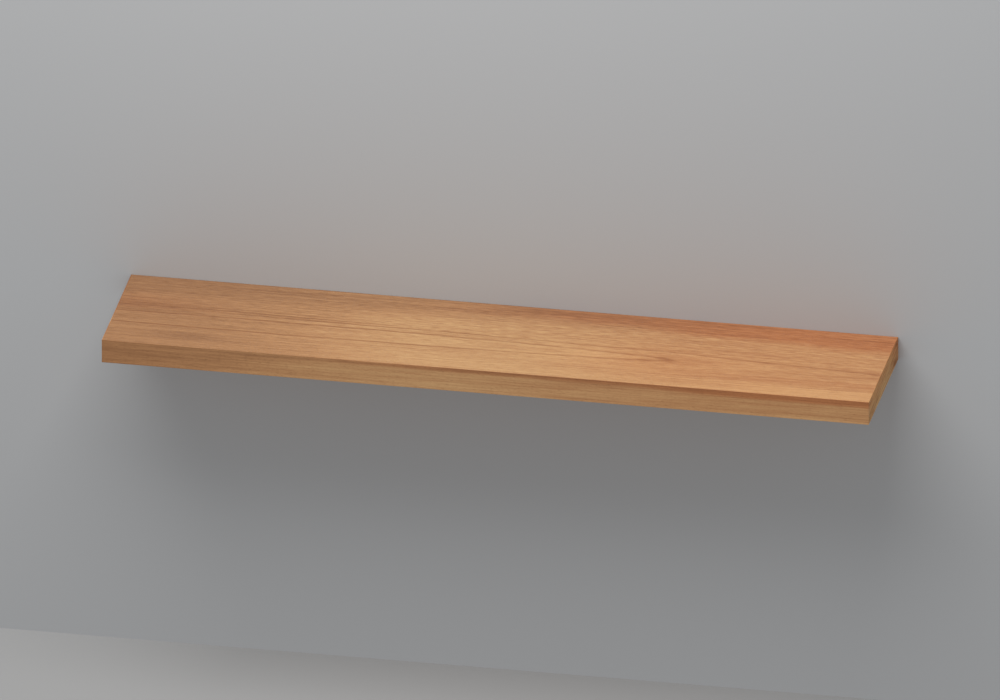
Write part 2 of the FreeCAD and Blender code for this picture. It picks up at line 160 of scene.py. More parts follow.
class StudioSettings(bpy.types.PropertyGroup):
    """Camera, wall, floor and light"""

    azimuth: number("Azimuth", "Camera's angle round the shelf", AZIMUTH, subtype="ANGLE")
    elevation: number("Elevation", "Camera's angle above level", ELEVATION, subtype="ANGLE")
    picture_width: length("Picture width", "Width that the camera sees", 1.5364)
    aim_right: number("Aim right", "How far right the camera aims", -0.0225, subtype="DISTANCE")
    aim_up: number("Aim up", "How far up the camera aims", -0.0508, subtype="DISTANCE")
    floor_drop: length("Floor drop", "Height of the shelf's middle above the floor", 0.60)
    wall: colour("Wall", "Painted wall", (0.495, 0.50, 0.508))
    floor: colour("Floor", "Plain floor", (0.41, 0.41, 0.41))
    background: number("Background", "Brightness behind the wall and floor", 0.80, min=0, max=1)
    ambient: number("Ambient", "Light from all round", 0.435, min=0)
    ambient_tint: colour("Ambient tint", "Colour of the light from all round", (0.975, 0.99, 1.0))
    key_power: number("Key light", "Large soft light's power", 74.5, min=0)
    key_tint: colour("Key tint", "Colour of the large soft light", (1.0, 0.995, 0.985))


SETTINGS = {
    "shelf_wood": WoodSettings,
    "shelf_core": CoreSettings,
    "shelf_metal": MetalSettings,
    "shelf_fastenings": FasteningSettings,
    "shelf_studio": StudioSettings,
}


# ---- shader expressions ----


class Wire:
    """A shader socket that is written into sums and products as a number is."""

    def __init__(self, tree, socket=None):
        self.tree = tree
        self.socket = socket

    def node(self, kind, settings=None, inputs=None, output=0):
        """Adds a node, sets it up, feeds its inputs and gives one of its outputs."""
        made = self.tree.nodes.new("ShaderNode" + kind)
        for name, value in (settings or {}).items():
            if name == "stops":
                set_stops(made.color_ramp, *value)
            else:
                setattr(made, name, value)
        for key, value in (inputs or {}).items():
            if isinstance(value, Wire):
                self.tree.links.new(value.socket, made.inputs[key])
            else:
                made.inputs[key].default_value = value
        return Wire(self.tree, made.outputs[output])

    def outputs(self):
        """Every output of this wire's node, by name."""
        return {socket.name: Wire(self.tree, socket) for socket in self.socket.node.outputs}

    def maths(self, operation, *others):
        """A Math node on this wire and the others."""
        return self.node("Math", {"operation": operation}, dict(enumerate((self, *others))))

    def __add__(self, other):
        return self.maths("ADD", other)

    def __sub__(self, other):
        return self.maths("SUBTRACT", other)

    def __rsub__(self, other):
        return self.node("Math", {"operation": "SUBTRACT"}, {0: other, 1: self})

    def __mul__(self, other):
        return self.maths("MULTIPLY", other)

    def __truediv__(self, other):
        return self.maths("DIVIDE", other)

    def __pow__(self, other):
        return self.maths("POWER", other)

    def __abs__(self):
        return self.maths("ABSOLUTE")

    __radd__ = __add__
    __rmul__ = __mul__

    def rise(self, low, high):
        """0 below low, 1 above high, and a smooth rise between."""
        settings = {"interpolation_type": "SMOOTHSTEP"}
        inputs = {"Value": self, "From Min": low, "From Max": high}
        return self.node("MapRange", settings, inputs)

    def fall(self, low, high):
        """1 below low, 0 above high, and a smooth fall between."""
        return 1 - self.rise(low, high)

    def hump(self, centre, width):
        """1 at the centre, falling away on both sides as a bell."""
        return (((self - centre) / width) ** 2.0 * -1.0).maths("EXPONENT")


def set_stops(ramp, stops, interpolation="LINEAR"):
    """Gives a colour ramp its stops, as (position, colour)."""
    ramp.interpolation = interpolation
    while len(ramp.elements) < len(stops):
        ramp.elements.new(1.0)
    for element, (position, tint) in zip(ramp.elements, stops):
        element.position = position
        element.color = (*tint, 1.0)


def with_alpha(tint):
    """A colour with its alpha, or a wire as it is."""
    return tint if isinstance(tint, Wire) else (*tint, 1.0)


def blend_colours(share, first, second, mode="MIX"):
    """Mixes two colours by a share."""
    settings = {"data_type": "RGBA", "blend_type": mode}
    inputs = {MIX_SHARE: share, MIX_FIRST: with_alpha(first), MIX_SECOND: with_alpha(second)}
    return share.node("Mix", settings, inputs, MIX_RESULT)


def blend_shades(share, tint, first, second):
    """Mixes two shades of one colour, each given as its brightness over the colour's own."""
    shades = [tuple(min(c * level, 1.0) for c in tint) for level in (first, second)]
    return blend_colours(share, *shades)


def cells(place, size, detail=2.0, roughness=0.5, shift=(0.0, 0.0, 0.0)):
    """Soft noise from 0 to 1 whose patches have the given size in millimetres along each axis."""
    scale = tuple(1.0 / (s * MM) for s in size)
    placed = place.node("Mapping", {}, {"Vector": place, "Location": shift, "Scale": scale})
    inputs = {"Vector": placed, "Scale": 1.0, "Detail": detail, "Roughness": roughness}
    return placed.node("TexNoise", {}, inputs)


def swing(place, size, detail, roughness, shift):
    """Soft noise that swings to both sides of 0."""
    return cells(place, size, detail, roughness, shift) - 0.5


def spot(along, across, centre, width):
    """A soft oval patch with its centre and width along and across a face."""
    return along.hump(centre[0], width[0]) * across.hump(centre[1], width[1])


class Finish:
    """A new material with its shader and its place in object space."""

    def __init__(self, name, **constants):
        self.material = bpy.data.materials.new(name)
        self.material.use_nodes = True
        tree = self.material.node_tree
        self.shader = next(n for n in tree.nodes if n.type == "BSDF_PRINCIPLED")
        for key, value in constants.items():
            self.shader.inputs[key.replace("_", " ")].default_value = value
        self.place = Wire(tree).node("TexCoord", output="Object")
        axes = self.place.node("SeparateXYZ", {}, {"Vector": self.place})
        self.x, self.y, self.z = axes.outputs().values()

    def paint(self, base, roughness=None, height=None, depth=0.1 * MM):
        """Sets or links the colour, the roughness and the height of the surface."""
        tree = self.shader.id_data
        for key, value in {"Base Color": base, "Roughness": roughness}.items():
            if isinstance(value, Wire):
                tree.links.new(value.socket, self.shader.inputs[key])
            elif value is not None:
                self.shader.inputs[key].default_value = value
        if height is not None:
            normal = height.node("Bump", {}, {"Distance": depth, "Height": height})
            tree.links.new(normal.socket, self.shader.inputs["Normal"])
        return self.material


# ---- wood ----


# A figure gives the wood's tone, its redness, its dark lines if any, and its fine streaks. A place
# on a face is given by shares: along from left to right, across from wall to front, and down from
# the top edge.


# How far the cut rises through the growth rings, as (along, rise)
RING_SAGS = (
    (0.0, -0.0062),
    (0.2, -0.0084),
    (0.39, -0.0070),
    (0.52, -0.0055),
    (0.62, -0.0030),
    (0.736, 0.0),
    (0.8, 0.0055),
    (0.9, 0.0105),
    (1.0, 0.0133),
)
SAG_LOW = -0.01
SAG_SPAN = 0.03

# Dark ring lines, as (level, width, start, end, strength). The main ones' tip is at RING_MIDDLE.
RING_MIDDLE = 0.613
RING_FADE = 0.08
MAIN_RINGS = (
    (0.0, 0.0085, -0.2, 0.9, 0.63),
    (0.0, 0.011, 0.64, 0.9, 0.2),
)
OUTER_RINGS = (
    (0.0135, 0.0085, 0.2, 1.2, 0.5),
    (0.025, 0.009, -0.2, 0.36, 0.5),
    (0.037, 0.009, -0.2, 0.3, 0.25),
    (0.0165, 0.008, -0.2, 0.3, 0.4),
)


def ring_sag(along):
    """How far the cut rises through the growth rings, along the board."""
    stops = [(x, ((sag - SAG_LOW) / SAG_SPAN,) * 3) for x, sag in RING_SAGS]
    ramp = along.node("ValToRGB", {"stops": (stops, "B_SPLINE")}, {"Fac": along})
    return ramp * SAG_SPAN + SAG_LOW


def ring_lines(rings, field, slope, along):
    """Dark ring lines, each faded in and out along the board."""
    lines = []
    for level, width, start, end, strength in rings:
        near = ((field - level) / slope).hump(0, width)
        begun = along.rise(start - RING_FADE, start + RING_FADE)
        going = along.fall(end - RING_FADE, end + RING_FADE)
        lines.append(near * begun * going * strength)
    return sum(lines)


def top_figure(finish):
    """Growth rings cut into long arches that point right, with heartwood along the back."""
    place = finish.place
    along = finish.x / SHELF_LENGTH + 0.5
    across = finish.y / -SHELF_DEPTH

    # The growth rings, and a place that is bent along them
    drift = swing(place, (260, 60, 60), 2, 0.5, (3, 1, 0)) * 0.03
    wobble = swing(place, (45, 14, 14), 1, 0.5, (7, 4, 0)) * 0.007
    off = across + drift + wobble - RING_MIDDLE
    field = off * off + ring_sag(along)
    slope = (off * off + 0.0005) ** 0.5 * 2.0
    curve = (field + 0.02) ** 0.5 * SHELF_DEPTH
    bent = place.node("CombineXYZ", {}, {"X": finish.x, "Y": curve, "Z": finish.z})

    # Their dark lines, fainter in front of the tip and broken here and there
    faint = off.rise(0.0, 0.02) * along.rise(0.3, 0.6) * 0.2
    faint = faint + off.fall(-0.03, 0.0) * along.hump(0.68, 0.06) * 0.35
    upper = off.fall(-0.01, 0.03).maths("MAXIMUM", along.rise(0.84, 0.93) * 0.4)
    lines = ring_lines(MAIN_RINGS, field, slope, along) * (1 - faint)
    lines = lines + ring_lines(OUTER_RINGS, field, slope, along) * upper
    broken = cells(place, (70, 7, 7), 2, 0.6, (0, 9, 0)).rise(0.3, 0.6) * 0.35 + 0.65

    # Fine figure
    grain = swing(bent, (240, 7, 20), 3, 0.55, (2, 0, 0))
    streaks = swing(bent, (220, 3.0, 9), 1, 0.5, (5, 2, 0))
    dashes = swing(place, (24, 2.8, 9), 1, 0.5, (1, 8, 0))
    patches = swing(place, (300, 55, 60), 2, 0.5, (4, 6, 0))
    edge = swing(place, (120, 24, 24), 3, 0.6, (9, 3, 0)) * 0.16
    dashed = across.hump(0.38, 0.28) * 0.45 + 0.55

    # Heartwood at the back, the board's pale, dark and red patches, and painted shade along the
    # back edge by the wall
    back_width = along.rise(0.45, 1.0) * 0.12 + 0.145
    back = (back_width - across + edge).rise(-0.06, 0.075) * (along + edge).rise(0.34, 0.62)
    # Darker towards the left end
    left = along.fall(-0.05, 0.46)
    right = along.rise(0.4, 0.9) * (across.hump(0.62, 0.12) * 0.06 + 0.15)
    glow = along.hump(0.55, 0.3) * across.rise(0.1, 0.7)
    strip = across.rise(0.84, 0.9) * along.rise(0.6, 0.95)
    low_band = (across + edge * 0.4).hump(0.775, 0.05) * along.rise(0.66, 0.95)
    rough_band = across.hump(0.38, 0.12) * along.fall(0.0, 0.2)
    smudge = spot(along + edge * 0.3, across, (0.1, 0.85), (0.05, 0.05))
    blush = spot(along, across, (0.7, 0.66), (0.13, 0.25))
    # Painted shade: the top darkens towards its back edge, where it meets the wall, most on the
    # left half
    painted_wall_shade = (across + edge * 0.5).fall(0.08, 0.36) * along.fall(0.5, 0.95)
    painted_wall_shade = painted_wall_shade * (along.rise(0.0, 0.3) * 0.4 + 0.75)

    tone = 0.53 + grain * 0.35 + patches * 0.25
    tone = tone + (streaks * 0.6 + dashes * dashed * 0.9) * (1 - left * 0.5)
    tone = tone + right + glow * 0.16 + strip * 0.2 - left * 0.32 - back * 0.2 - low_band * 0.13
    tone = tone - painted_wall_shade * 0.2 - smudge * 0.2 - rough_band * 0.07 - blush * 0.06
    red = back * 0.5 + low_band * 0.1 + rough_band * 0.3 + blush * 0.26
    red = red + along.rise(0.45, 0.9) * 0.46
    return tone, red, lines * broken, dashes + streaks


def front_figure(finish):
    """A strip of the same wood: a dark upper edge, a pale middle and a few streaks."""
    place = finish.place
    along = finish.x / SHELF_LENGTH + 0.5
    down = 0.5 - finish.z / SHELF_THICKNESS

    # Fine figure
    grain = swing(place, (240, 9, 3.8), 3, 0.6, (1, 1, 1))
    streaks = swing(place, (180, 9, 3.0), 2, 0.6, (8, 0, 2))
    dashes = swing(place, (30, 9, 2.2), 2, 0.6, (2, 0, 7))
    patches = swing(place, (240, 30, 12), 2, 0.5, (7, 6, 1))
    edge = swing(place, (110, 20, 7), 3, 0.6, (6, 1, 4)) * 0.25

    # The dark upper edge, the strip's pale and dark patches, and a darkening towards the left end
    upper_width = along.rise(0.68, 0.82) * 0.1 + 0.15
    upper = (upper_width - down + edge * 0.4).rise(-0.07, 0.09) * (along + edge).rise(0.22, 0.42)
    rim = down.fall(0.02, 0.14) * along.rise(0.0, 0.1)
    left = along.fall(0.0, 0.3)
    right = along.rise(0.6, 0.95)
    middle = along.hump(0.5, 0.2) * down.rise(0.15, 0.5)
    pale_streak = spot(along, down, (0.72, 0.38), (0.13, 0.12))
    dark_streak = spot(along, down, (0.37, 0.42), (0.08, 0.08))
    tail = down.hump(0.79, 0.04) * along.rise(0.84, 0.97)
    low_pale = down.rise(0.5, 0.7) * along.hump(0.46, 0.14) * 0.3
    low_pale = low_pale + down.rise(0.88, 0.96) * along.rise(0.7, 0.9)

    tone = 0.505 + grain * 0.5 + streaks * 0.6 + dashes * 0.4 + patches * 0.3
    tone = tone + right * 0.14 + middle * 0.14 + low_pale * 0.18 + pale_streak * 0.1
    tone = tone - left * 0.24 - upper * 0.22 - tail * 0.14 - rim * 0.08 - dark_streak * 0.09
    red = upper * (along.rise(0.6, 0.9) * 0.2 + 0.4) + left * 0.1 + along.rise(0.4, 0.8) * 0.2
    return tone, red, tail * 0.25, dashes + streaks


def end_figure(finish):
    """A cross band: fine streaks from front to back, redder at the top and darker at the wall."""
    place = finish.place
    across = finish.y / -SHELF_DEPTH
    edge = swing(place, (9, 30, 9), 3, 0.6, (2, 5, 1)) * 0.2
    grain = swing(place, (9, 90, 4), 3, 0.6, (1, 2, 1))
    streaks = swing(place, (9, 40, 2), 2, 0.6, (3, 0, 2))
    patches = swing(place, (30, 60, 16), 2, 0.5, (5, 1, 4))
    back = (across + edge).fall(0.05, 0.3)
    left = finish.x.fall(-0.1, 0.1)
    upper = (finish.z / SHELF_THICKNESS + 0.5).rise(0.35, 0.8)
    tone = 0.72 + grain * 0.9 + streaks * 1.5 + patches * 0.8
    tone = tone + upper * 0.05 - back * 0.32 - left * 0.4
    return tone, back * 0.3 + upper * 0.45, None, streaks + grain


def underside_figure(finish):
    """Straight grain with a few wide arches, for the lower veneer."""
    place = finish.place
    drift = swing(place, (420, 80, 80), 2, 0.5, (2, 7, 3)) * 0.09
    bent = place.node("CombineXYZ", {}, {"X": finish.x, "Y": finish.y + drift, "Z": finish.z})
    grain = swing(bent, (300, 7, 20), 3, 0.6, (6, 2, 2))
    streaks = swing(bent, (120, 2.6, 9), 2, 0.6, (1, 4, 2))
    dashes = swing(place, (16, 2.6, 9), 2, 0.6, (3, 2, 6))
    patches = swing(place, (320, 60, 60), 2, 0.5, (1, 1, 6))
    tone = 0.5 + grain * 0.45 + streaks * 0.3 + dashes * 0.3 + patches * 0.3
    return tone, patches.rise(0.02, 0.16) * 0.5, grain.fall(-0.2, -0.1) * 0.35, dashes + streaks


def wood_finish(name, figure, pore_size=(7, 0.4, 0.4), gloss=0.08):
    """Lacquered wood with its figure, open pores along the grain and a satin surface."""
    wood = bpy.context.scene.shelf_wood
    finish = Finish(name, Specular_IOR_Level=gloss)
    tone, red, lines, streaks = figure(finish)
    pores = cells(finish.place, pore_size, 1, 0.5, (4, 4, 4)).rise(0.56, 0.7)
    tone = tone - pores * 0.16 + 0.02
    stops = [(0.0, wood.dark), (0.5, wood.middle), (1.0, wood.pale)]
    base = tone.node("ValToRGB", {"stops": (stops,)}, {"Fac": tone})
    base = blend_colours(red, base, wood.red, "MULTIPLY")
    height = streaks - pores
    if lines is not None:
        base = blend_colours(lines.maths("MINIMUM", 1.0), base, wood.line, "MULTIPLY")
        height = height - lines * 0.5
    return finish.paint(base, wood.roughness - streaks * 0.1, height, wood.pore_depth)


# ---- the other finishes ----


def hardboard_finish():
    """Pressed brown fibre, smooth and hard."""
    core = bpy.context.scene.shelf_core
    finish = Finish("hardboard")
    fibre = cells(finish.place, (1.6, 1.2, 0.8), 4, 0.7)
    cloud = cells(finish.place, (30, 24, 12), 3, 0.6)
    layers = cells(finish.place, (14, 14, 0.5), 2, 0.6)
    share = (fibre * 0.5 + cloud * 0.25 + layers * 0.25).rise(0.3, 0.7)
    base = blend_shades(share, core.hardboard, 0.6, 1.45)
    return finish.paint(base, 0.6 + fibre * 0.2, fibre)


def softwood_finish(name, length_axis):
    """Planed pine with rings that run along the piece."""
    core = bpy.context.scene.shelf_core
    finish = Finish(name)
    ring_cell = [34, 34, 34]
    ring_cell[length_axis] = 420
    fibre_cell = [1.2, 1.2, 1.2]
    fibre_cell[length_axis] = 26
    warp = cells(finish.place, ring_cell, 2, 0.5, (1, 2, 3))
    rings = (warp * 16.0).maths("FRACT").rise(0.15, 1.0) ** 2.0
    fibre = cells(finish.place, fibre_cell, 2, 0.6)
    late_wood = [c * k for c, k in zip(core.softwood, (0.72, 0.58, 0.42))]
    base = blend_colours(rings * 0.55 + fibre * 0.35, core.softwood, late_wood)
    return finish.paint(base, 0.62 + fibre * 0.15, fibre - rings * 0.4, 0.12 * MM)


def kraft_finish():
    """Unbleached paper: fibres, flecks and glue-darkened edges."""
    core = bpy.context.scene.shelf_core
    finish = Finish("kraft_paper")
    fibre = cells(finish.place, (0.8, 0.8, 2.4), 3, 0.7)
    fleck = cells(finish.place, (2.2, 2.2, 2.2), 1, 0.5, (3, 3, 3)).rise(0.62, 0.72)
    rim = abs(finish.z).rise(13.6 * MM, 15.2 * MM)
    share = (1 - fibre * 0.8 + fleck * 0.3 + rim * 0.4).rise(0.2, 1.0)
    base = blend_shades(share, core.kraft, 1.25, 0.62)
    return finish.paint(base, 0.8 + fibre * 0.1, fibre, 0.08 * MM)


def metal_finish(name, tint, roughness, grain, amount, stain=0.25, seed=0):
    """Metal with brushed or drawn grain and soft stains."""
    finish = Finish(name, Metallic=1.0)
    brushed = cells(finish.place, grain, 3, 0.6, (seed, seed, seed))
    cloud = cells(finish.place, (26, 20, 20), 3, 0.6, (seed + 2, 1, seed))
    share = (brushed - 0.5) * amount + (cloud - 0.5) * stain * 2.0 + 0.5
    rough = roughness + (cloud - 0.5) * 0.2 + (brushed - 0.5) * 0.15
    return finish.paint(blend_shades(share, tint, 0.72, 1.2), rough, brushed, 0.03 * MM)


def zinc_finish():
    """Bright zinc plating: pale crystals over rolled steel."""
    metal = bpy.context.scene.shelf_metal
    finish = Finish("bright_zinc_plating", Metallic=1.0)
    inputs = {"Vector": finish.place, "Scale": 900.0}
    crystals = finish.place.node("TexVoronoi", {}, inputs, "Color")
    spangle = crystals.node("SeparateColor", {}, {"Color": crystals})
    rolled = cells(finish.place, (90, 2, 0.8), 3, 0.6)
    cloud = cells(finish.place, (40, 20, 9), 3, 0.6)
    share = (spangle * 0.18 + rolled * 0.4 + cloud * 0.42).rise(0.2, 0.8)
    base = blend_shades(share, metal.zinc, 0.85, 1.12)
    return finish.paint(base, 0.3 + cloud * 0.14 + spangle * 0.05, rolled, 0.02 * MM)


def weld_finish():
    """Weld metal: grey with straw and blue heat tints beside the rod."""
    metal = bpy.context.scene.shelf_metal
    finish = Finish("weld_metal", Metallic=1.0)
    cloud = cells(finish.place, (2.6, 2.6, 2.6), 3, 0.6)
    heat = (finish.y / -MM + cloud * 1.5).rise(4.6, 8.4)
    straw = (0.46, 0.34, 0.17)
    blue = (0.17, 0.20, 0.33)
    stops = [(0.0, metal.weld), (0.6, straw), (1.0, blue)]
    tint = heat.node("ValToRGB", {"stops": (stops,)}, {"Fac": heat})
    return finish.paint(tint, 0.32 + cloud * 0.25, cloud)


def nylon_finish():
    """Moulded nylon: even grey with a faint flow pattern."""
    fastenings = bpy.context.scene.shelf_fastenings
    finish = Finish("moulded_nylon", Subsurface_Weight=0.15, Subsurface_Scale=0.001)
    flow = cells(finish.place, (3, 14, 3), 2, 0.5)
    grit = cells(finish.place, (0.4, 0.4, 0.4), 1, 0.5)
    base = blend_shades(flow.rise(0.3, 0.7), fastenings.nylon, 0.8, 1.12)
    return finish.paint(base, 0.42 + flow * 0.15, grit, 0.03 * MM)


# ---- modelling ----


def solid_boxes(node):
    """The box of each separate solid of a CAD node, from left to right."""
    bm = bmesh.new()
    bm.from_mesh(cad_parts[node].data)
    bmesh.ops.remove_doubles(bm, verts=bm.verts[:], dist=SEAM)
    left = set(bm.verts)
    boxes = []
    while left:
        reached = [left.pop()]
        points = []
        while reached:
            vertex = reached.pop()
            points.append(vertex.co.copy())
            for link in vertex.link_edges:
                other = link.other_vert(vertex)
                if other in left:
                    left.remove(other)
                    reached.append(other)
        low = Vector(min(p[i] for p in points) for i in range(3))
        high = Vector(max(p[i] for p in points) for i in range(3))
        boxes.append((low, high))
    bm.free()
    return sorted(boxes, key=lambda box: box[0].x)


class Lathe:
    """Turns profiles about the axis of a round solid, given by its box. Sizes are millimetres."""

    def __init__(self, box, axis):
        low, high = box
        way = max(range(3), key=lambda i: abs(axis[i]))
        self.axis = axis
        self.side = axis.cross(X_AXIS)
        self.foot = Vector((a + b) / 2 for a, b in zip(low, high))
        self.foot[way] = (low if axis[way] > 0 else high)[way]
        self.radius = (high.x - low.x) / 2 / MM
        self.length = (high[way] - low[way]) / MM

    def turn(self, profile, steps, closed=False, runs=(), angle=math.tau):
        """Turns a profile of (radius, height). A run is an edge and its cuts, for a thread."""
        bm = bmesh.new()
        places = [self.foot + X_AXIS * (r * MM) + self.axis * (h * MM) for r, h in profile]
        points = [bm.verts.new(place) for place in places]
        edges = [bm.edges.new(pair) for pair in zip(points, points[1:])]
        if closed:
            edges.append(bm.edges.new((points[-1], points[0])))
        for index, cuts in runs:
            bmesh.ops.subdivide_edges(bm, edges=[edges[index]], cuts=cuts)
        whole = angle >= math.tau
        if closed and not whole:
            bmesh.ops.contextual_create(bm, geom=bm.edges[:])
        geometry = bm.verts[:] + bm.edges[:] + bm.faces[:]
        bmesh.ops.spin(
            bm,
            geom=geometry,
            cent=self.foot,
            axis=self.axis,
            angle=angle,
            steps=steps,
            use_merge=whole,
        )
        bmesh.ops.remove_doubles(bm, verts=bm.verts[:], dist=MERGE)
        return bm

    def reshape(self, bm, rule):
        """Moves points by a rule that turns radius, height and angle into new ones, or None."""
        for vertex in bm.verts:
            arm = vertex.co - self.foot
            u, w = arm.dot(X_AXIS), arm.dot(self.side)
            moved = rule(math.hypot(u, w) / MM, arm.dot(self.axis) / MM, math.atan2(w, u))
            if moved:
                radius, height, angle = moved
                u, w = radius * MM * math.cos(angle), radius * MM * math.sin(angle)
                vertex.co = self.foot + self.axis * (height * MM) + X_AXIS * u + self.side * w


def threaded(start, end, radius, depth, pitch, inward=1):
    """A rule that moves the rings between two heights in or out along a helix."""

    def rule(r, height, angle):
        if abs(r - radius) > NEAR or not start < height < end:
            return None
        phase = (height / pitch - angle / math.tau) % 1.0
        fade = min(1.0, (height - start) / pitch, (end - height) / pitch)
        valley = depth * fade * (1 - abs(2 * phase - 1))
        return r - inward * valley, height, angle

    return rule


def recessed(mark, deepest, outline):
    """A rule that moves the rings at a marked radius, down to a depth, onto an outline."""

    def rule(r, height, angle):
        if abs(r - mark) > NEAR or height > deepest + NEAR:
            return None
        return outline(angle, height), height, angle

    return rule


def cross_outline(angle, height):
    """Radius of a cross recess, tapering with depth."""
    tip, flank, taper = 2.5, 0.65, 0.28
    fold = abs((angle + QUARTER_TURN / 2) % QUARTER_TURN - QUARTER_TURN / 2)
    if fold < math.radians(14):
        radius = tip / math.cos(fold)
    else:
        radius = flank / math.sin(max(fold, math.atan(flank / tip)))
    return radius * (1 - taper * height / CROSS_DEPTH)


def hexagon_outline(angle, height):
    """Radius of a hexagon socket."""
    return SOCKET_FLAT / math.cos(angle % (math.pi / 3) - math.pi / 6)


def rippled(rod, outer, ripples):
    """A rule that sinks a weld bead's face between its ripples, which lag at the face's edges."""
    lag, sink, margin, foot = 1.1, 0.28, 0.02, 0.1

    def rule(r, height, angle):
        share = (r - rod) / (outer - rod)
        if share < margin or height < foot:
            return None
        wave = abs(math.sin(angle * ripples / 2 + lag * (2 * share - 1) ** 2))
        sunk = sink * (1 - wave) * math.sin(math.pi * min(max(share, 0.1), 0.9))
        return r - sunk, height - sunk, angle

    return rule


def ribbed(body, start, end):
    """A rule that raises four ribs on a wall plug between two heights."""
    ribs, rise, sharpness = 4, 0.42, 4

    def rule(r, height, angle):
        if abs(r - body) > NEAR or not start < height < end:
            return None
        rib = max(0.0, math.cos(ribs * (angle - math.pi / ribs))) ** sharpness
        return r + rib * rise, height, angle

    return rule


def slit_leg(slit, quarter):
    """A rule that narrows a quarter of a plug by half a slit a side and turns it to its place."""

    def rule(r, height, angle):
        margin = math.asin(slit / 2 / r)
        share = min(abs(angle) / QUARTER_TURN, 1.0)
        narrowed = margin + share * (QUARTER_TURN - 2 * margin)
        return r, height, narrowed + quarter * QUARTER_TURN

    return rule


def slotted(half_width, depth):
    """A rule that sinks an insert's lower end in a driving slot."""
    lip = 0.25

    def rule(r, height, angle):
        if height > lip or abs(r * math.sin(angle)) > half_width:
            return None
        return r, height + depth, angle

    return rule


def eased_box(node, is_eased, arris):
    """A node's box with some of its edges eased."""
    low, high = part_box(node)
    bm = bmesh.new()
    bmesh.ops.create_cube(bm, size=1.0)
    bmesh.ops.scale(bm, verts=bm.verts, vec=high - low)
    bmesh.ops.translate(bm, verts=bm.verts, vec=(low + high) / 2)
    edges = [edge for edge in bm.edges if is_eased(*(vertex.co for vertex in edge.verts))]
    bmesh.ops.bevel(
        bm,
        geom=edges,
        offset=arris,
        offset_type="OFFSET",
        segments=4,
        profile=0.5,
        affect="EDGES",
        material=-1,
    )
    return bm


def finish_piece(solids, name, material, body, nodes, angle=35):
    """Joins solids into one object that rides on its body and stands for its CAD nodes."""
    whole = bmesh.new()
    mesh = bpy.data.meshes.new(name)
    for bm in solids:
        bmesh.ops.recalc_face_normals(bm, faces=bm.faces[:])
        bm.to_mesh(mesh)
        bm.free()
        whole.from_mesh(mesh)
    whole.to_mesh(mesh)
    whole.free()
    mesh.shade_smooth()
    mesh.set_sharp_from_angle(angle=math.radians(angle))
    mesh.materials.append(material)
    piece = bpy.data.objects.new(name, mesh)
    bpy.context.scene.collection.objects.link(piece)
    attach(piece, body)
    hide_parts(*nodes)


def dress(nodes, material):
    """Gives CAD nodes a finish through their material slots."""
    for name in nodes:
        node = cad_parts[name]
        if not node.material_slots:
            node.data.materials.append(material)
        for place in node.material_slots:
            place.material = material


# ---- operators ----


class SHELF_OT_veneers(bpy.types.Operator):
    """Wood veneer on the top and the underside"""

    bl_idname = "shelf.veneers"
    bl_label = "Veneers"

    def execute(self, context):
        dress(["top_veneer"], wood_finish("top_veneer_wood", top_figure))
        dress(["bottom_veneer"], wood_finish("underside_veneer_wood", underside_figure))
        return {"FINISHED"}


class SHELF_OT_edge_bands(bpy.types.Operator):
    """Wood bands on the front and both ends, with eased corners"""

    bl_idname = "shelf.edge_bands"
    bl_label = "Edge bands"

    def execute(self, context):
        arris = context.scene.shelf_wood.arris
        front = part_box("front_edge_band")[0].y
        wood = wood_finish("front_band_wood", front_figure)
        band = eased_box("front_edge_band", lambda a, b: min(a.y, b.y) < front + SEAM, arris)
        finish_piece(
            [band], "front_wood_band", wood, SHELF, ["front_edge_band"], 10
        )
        wood = wood_finish("end_band_wood", end_figure, pore_size=(0.4, 7, 0.4), gloss=0.001)
        for side in ("left", "right"):
            node = f"{side}_edge_band"
            end = max(abs(corner.x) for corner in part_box(node))
            band = eased_box(node, lambda a, b: self.is_end_arris(a, b, end), arris)
            finish_piece([band], f"{side}_wood_band", wood, SHELF, [node], 10)
        return {"FINISHED"}

    def is_end_arris(self, a, b, end):
        """True for a long edge on the outside of an end band."""
        return min(abs(a.x), abs(b.x)) > end - SEAM and abs(a.y - b.y) > SEAM


class SHELF_OT_skins(bpy.types.Operator):
    """Hardboard skins under the veneers"""

    bl_idname = "shelf.skins"
    bl_label = "Skins"

    def execute(self, context):
        dress(["top_skin", "bottom_skin"], hardboard_finish())
        return {"FINISHED"}


class SHELF_OT_core_frame(bpy.types.Operator):
    """Softwood rails and guide blocks"""

    bl_idname = "shelf.core_frame"
    bl_label = "Rails and guide blocks"

    def execute(self, context):
        dress(["front_rail", "rear_rail"], softwood_finish("long_rail_pine", 0))
        blocks = [f"guide_block_{side}" for side in SIDES]
        dress(["left_end_rail", "right_end_rail", *blocks], softwood_finish("cross_rail_pine", 1))
        return {"FINISHED"}


class SHELF_OT_honeycomb(bpy.types.Operator):
    """Kraft paper honeycomb between the rails"""

    bl_idname = "shelf.honeycomb"
    bl_label = "Honeycomb core"

    def execute(self, context):
        dress([f"honeycomb_{bay}" for bay in BAYS], kraft_finish())
        return {"FINISHED"}


class SHELF_OT_wall_plate(bpy.types.Operator):
    """Zinc plated wall plate"""

    bl_idname = "shelf.wall_plate"
    bl_label = "Wall plate"

    def execute(self, context):
        dress(["wall_plate"], zinc_finish())
        return {"FINISHED"}


